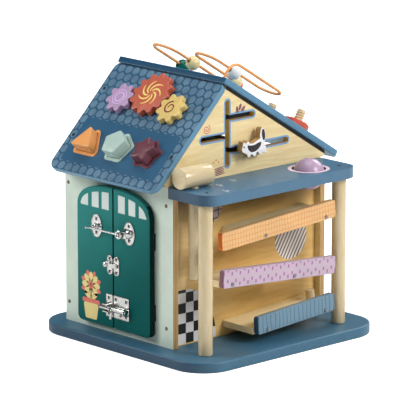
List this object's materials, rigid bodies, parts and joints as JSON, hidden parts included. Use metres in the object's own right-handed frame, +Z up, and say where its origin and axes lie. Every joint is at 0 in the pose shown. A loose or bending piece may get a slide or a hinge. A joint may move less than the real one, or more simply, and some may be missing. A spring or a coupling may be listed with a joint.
{
  "type": "wooden activity house",
  "caption": "Wooden activity house with latched doors, gears, shape blocks, a bead maze, a wall maze, a ball run with ramps, and a mallet.",
  "frame": {"origin": "middle of the base board's underside", "axes": "+Z up, doors and the steeper roof face -Y, ball run at +X, ridge along X"},
  "size_m": [0.348, 0.3573, 0.3997],
  "materials": {
    "blue": "satin",
    "mint": "satin",
    "teal": "satin",
    "plywood": "matte",
    "turned_wood": "matte",
    "chrome": "polished",
    "hinge_steel": "satin",
    "grip_rubber": "matte",
    "lavender": "satin",
    "cream": "satin",
    "bead_teal": "satin",
    "white": "satin",
    "coral": "satin",
    "wire_enamel": "gloss",
    "orange": "satin",
    "lilac": "satin",
    "sky": "satin",
    "gear_coral": "satin",
    "gear_lavender": "satin",
    "gear_yellow": "satin",
    "triangle_orange": "satin",
    "pentagon_mint": "satin",
    "star_plum": "satin"
  },
  "bodies": {
    "house": {"base_board": "blue", "front_panel": "mint", "back_panel": "mint", "porch_wall": "plywood", "outer_wall": "mint", "front_roof": "blue", "back_roof": "blue", "porch_shelf": "blue", "post_front": "turned_wood", "post_back": "turned_wood", "top_ramp_floor": "plywood", "top_ramp_fence": "orange", "middle_ramp_floor": "plywood", "middle_ramp_fence": "lilac", "bottom_ramp_floor": "plywood", "bottom_ramp_fence": "sky", "bottom_ramp_peg": "turned_wood", "ball_grip_ring": "grip_rubber", "hinge_left_lower": "hinge_steel", "hinge_left_upper": "hinge_steel", "hinge_right_lower": "hinge_steel", "hinge_right_upper": "hinge_steel", "gear_coral_pin": "turned_wood", "gear_lavender_pin": "turned_wood", "gear_yellow_pin": "turned_wood", "stud_left": "turned_wood", "stud_right": "turned_wood", "bead_wire": "wire_enamel"},
    "left_door": {"door_left": "teal", "hook_eye_plate": "chrome", "bar_rest_plate": "chrome", "bolt_keeper": "chrome"},
    "right_door": {"door_right": "teal", "hook_pivot_plate": "chrome", "bar_pivot_plate": "chrome", "bolt_plate": "chrome"},
    "hook": {"hook": "chrome"},
    "turn_bar": {"turn_bar": "chrome"},
    "slide_bolt": {"slide_bolt": "chrome"},
    "coral_gear": {"gear_coral": "gear_coral"},
    "lavender_gear": {"gear_lavender": "gear_lavender"},
    "yellow_gear": {"gear_yellow": "gear_yellow"},
    "triangle_block": {"block_triangle": "triangle_orange"},
    "pentagon_block": {"block_pentagon": "pentagon_mint"},
    "star_block": {"block_star": "star_plum"},
    "slider": {"slider_figure": "white", "slider_stem": "turned_wood"},
    "mallet": {"mallet_head": "turned_wood", "mallet_handle": "turned_wood"},
    "ball": {"ball": "lavender"},
    "left_nut": {"nut_left": "coral"},
    "right_nut": {"nut_right": "coral"},
    "teal_bead": {"bead_teal": "bead_teal"},
    "upper_cream_bead": {"bead_cream_upper": "cream"},
    "white_bead": {"bead_white": "white"},
    "lower_cream_bead": {"bead_cream_lower": "cream"},
    "coral_bead": {"bead_coral": "coral"}
  },
  "joints": [
    {"name": "right_door_hinge", "type": "hinge", "parent": "house", "child": "right_door", "pos_m": [0.0469, -0.147, 0.0253], "axis": [0, 0, 1], "range_deg": [0, 90]},
    {"name": "left_door_hinge", "type": "hinge", "parent": "house", "child": "left_door", "pos_m": [-0.1017, -0.147, 0.0253], "axis": [0, 0, -1], "range_deg": [0, 90]},
    {"name": "hook_turn", "type": "hinge", "parent": "right_door", "child": "hook", "pos_m": [-0.007, -0.1627, 0.1635], "axis": [0, -1, 0], "range_deg": [0, 100]},
    {"name": "turn_bar_turn", "type": "hinge", "parent": "right_door", "child": "turn_bar", "pos_m": [-0.0197, -0.1562, 0.1153], "axis": [0, -1, 0], "range_deg": [0, 90]},
    {"name": "bolt_slide", "type": "slide", "parent": "right_door", "child": "slide_bolt", "axis": [1, 0, 0], "range_m": [0, 0.0235]},
    {"name": "coral_gear_spin", "type": "hinge", "parent": "house", "child": "coral_gear", "pos_m": [-0.03, -0.07474, 0.34032], "axis": [0, -0.7096, 0.7046], "continuous": true},
    {"name": "lavender_gear_spin", "type": "hinge", "parent": "house", "child": "lavender_gear", "pos_m": [-0.082, -0.086, 0.32898], "axis": [0, -0.7096, 0.7046], "continuous": true},
    {"name": "yellow_gear_spin", "type": "hinge", "parent": "house", "child": "yellow_gear", "pos_m": [0.022, -0.086, 0.32898], "axis": [0, -0.7096, 0.7046], "continuous": true},
    {"name": "triangle_slide", "type": "slide", "parent": "house", "child": "triangle_block", "axis": [0, -0.7096, 0.7046], "range_m": [-0.03, 0.02]},
    {"name": "pentagon_slide", "type": "slide", "parent": "house", "child": "pentagon_block", "axis": [0, -0.7096, 0.7046], "range_m": [-0.03, 0.02]},
    {"name": "star_slide", "type": "slide", "parent": "house", "child": "star_block", "axis": [0, -0.7096, 0.7046], "range_m": [-0.03, 0.02]},
    {"name": "slider_slide", "type": "slide", "parent": "house", "child": "slider", "axis": [0, 1, 0], "range_m": [-0.038, 0.073]},
    {"name": "mallet_lift", "type": "slide", "parent": "house", "child": "mallet", "axis": [0, 0, 1], "range_m": [0, 0.14]},
    {"name": "ball_push", "type": "slide", "parent": "house", "child": "ball", "axis": [0, 0, 1], "range_m": [-0.0235, 0.03]},
    {"name": "left_nut_spin", "type": "hinge", "parent": "house", "child": "left_nut", "pos_m": [-0.009, 0.11768, 0.28129], "axis": [0, 0.5264, 0.8503], "continuous": true},
    {"name": "right_nut_spin", "type": "hinge", "parent": "house", "child": "right_nut", "pos_m": [0.049, 0.11768, 0.28129], "axis": [0, 0.5264, 0.8503], "continuous": true},
    {"name": "teal_bead_slide", "type": "slide", "parent": "house", "child": "teal_bead", "axis": [0, 0.8503, -0.5264], "range_m": [-0.045, 0.006]},
    {"name": "upper_cream_bead_slide", "type": "slide", "parent": "house", "child": "upper_cream_bead", "axis": [0, 0.8503, -0.5264], "range_m": [-0.017, 0.042]},
    {"name": "white_bead_slide", "type": "slide", "parent": "house", "child": "white_bead", "axis": [0, 0.8503, -0.5264], "range_m": [-0.021, 0.038]},
    {"name": "lower_cream_bead_slide", "type": "slide", "parent": "house", "child": "lower_cream_bead", "axis": [0, 0.8503, -0.5264], "range_m": [-0.07, 0]},
    {"name": "coral_bead_round_loop", "type": "hinge", "parent": "house", "child": "coral_bead", "pos_m": [-0.047, 0.07703, 0.34291], "axis": [0, 0.5264, 0.8503], "range_deg": [-5, 70]}
  ],
  "couplings": [
    {"joint": "left_door_hinge", "follows": "right_door_hinge", "ratio": 1},
    {"joint": "lavender_gear_spin", "follows": "coral_gear_spin", "ratio": -1.5},
    {"joint": "yellow_gear_spin", "follows": "coral_gear_spin", "ratio": -1.5}
  ]
}
